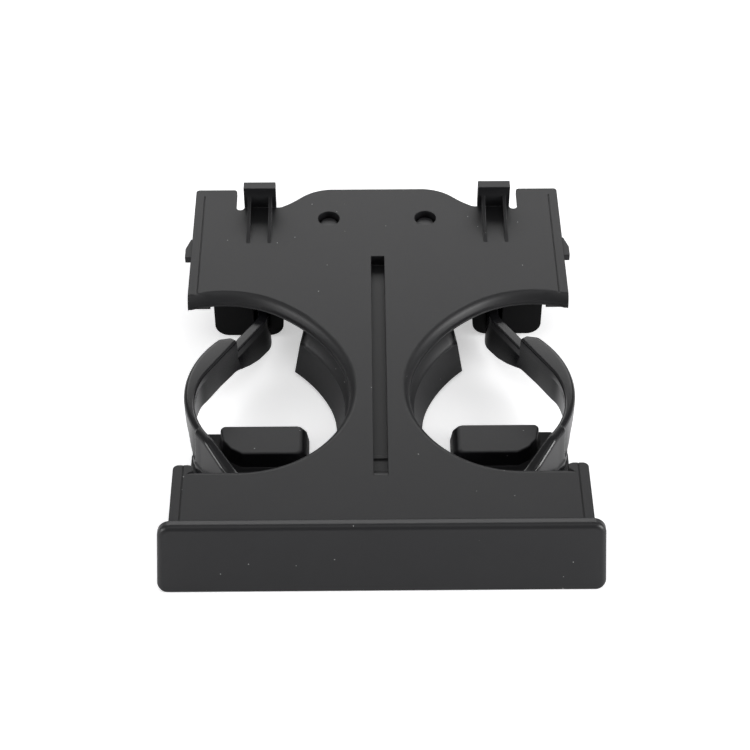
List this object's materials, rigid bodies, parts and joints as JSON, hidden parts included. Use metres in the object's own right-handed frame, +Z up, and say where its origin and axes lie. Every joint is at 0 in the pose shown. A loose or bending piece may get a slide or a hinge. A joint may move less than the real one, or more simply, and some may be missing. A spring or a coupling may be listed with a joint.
{
  "type": "car cup holder",
  "caption": "Pull-out twin cup holder for a car dashboard, with a waisted tray, two sprung side arms that close the rings, cup rests and a leaning front panel.",
  "frame": {"origin": "middle of the holder's box in X and Y, on the surface that the holder stands on", "axes": "+X to the right as the front panel is seen, +Y from the front panel to the rear of the tray, +Z up"},
  "size_m": [0.199, 0.2379, 0.046],
  "materials": {
    "tray_plastic": "fine-grained dark gray moulded plastic with a soft sheen",
    "panel_plastic": "satin dark gray moulded plastic",
    "arm_plastic": "satin dark gray moulded plastic",
    "cover_plastic": "near-black moulded plastic",
    "rest_plastic": "grained near-black moulded plastic",
    "plug_plastic": "gray moulded plastic",
    "pin_steel": "ground steel",
    "spring_steel": "drawn spring steel wire",
    "screw_steel": "zinc-plated steel"
  },
  "bodies": {
    "tray_body": {"tray": "tray_plastic", "front_panel": "panel_plastic", "panel_screws": "screw_steel", "left_pivot_pin": "pin_steel", "right_pivot_pin": "pin_steel", "left_arm_spring": "spring_steel", "right_arm_spring": "spring_steel", "left_pivot_cover": "cover_plastic", "right_pivot_cover": "cover_plastic", "left_cover_screws": "screw_steel", "right_cover_screws": "screw_steel", "left_liner": "tray_plastic", "right_liner": "tray_plastic", "left_liner_screws": "screw_steel", "right_liner_screws": "screw_steel", "left_cup_rest": "rest_plastic", "right_cup_rest": "rest_plastic", "left_rest_screws": "screw_steel", "right_rest_screws": "screw_steel", "left_rear_plug": "plug_plastic", "right_rear_plug": "plug_plastic"},
    "left_arm": {"left_arm": "arm_plastic"},
    "right_arm": {"right_arm": "arm_plastic"}
  },
  "joints": [
    {"name": "left_arm_swing", "type": "hinge", "parent": "tray_body", "child": "left_arm", "pos_m": [-0.0565, 0.05114, 0.014], "axis": [0, 0, -1], "range_deg": [0, 13], "stiffness_Nm_per_rad": 0.05},
    {"name": "right_arm_swing", "type": "hinge", "parent": "tray_body", "child": "right_arm", "pos_m": [0.0565, 0.05114, 0.014], "axis": [0, 0, 1], "range_deg": [0, 13], "stiffness_Nm_per_rad": 0.05}
  ]
}
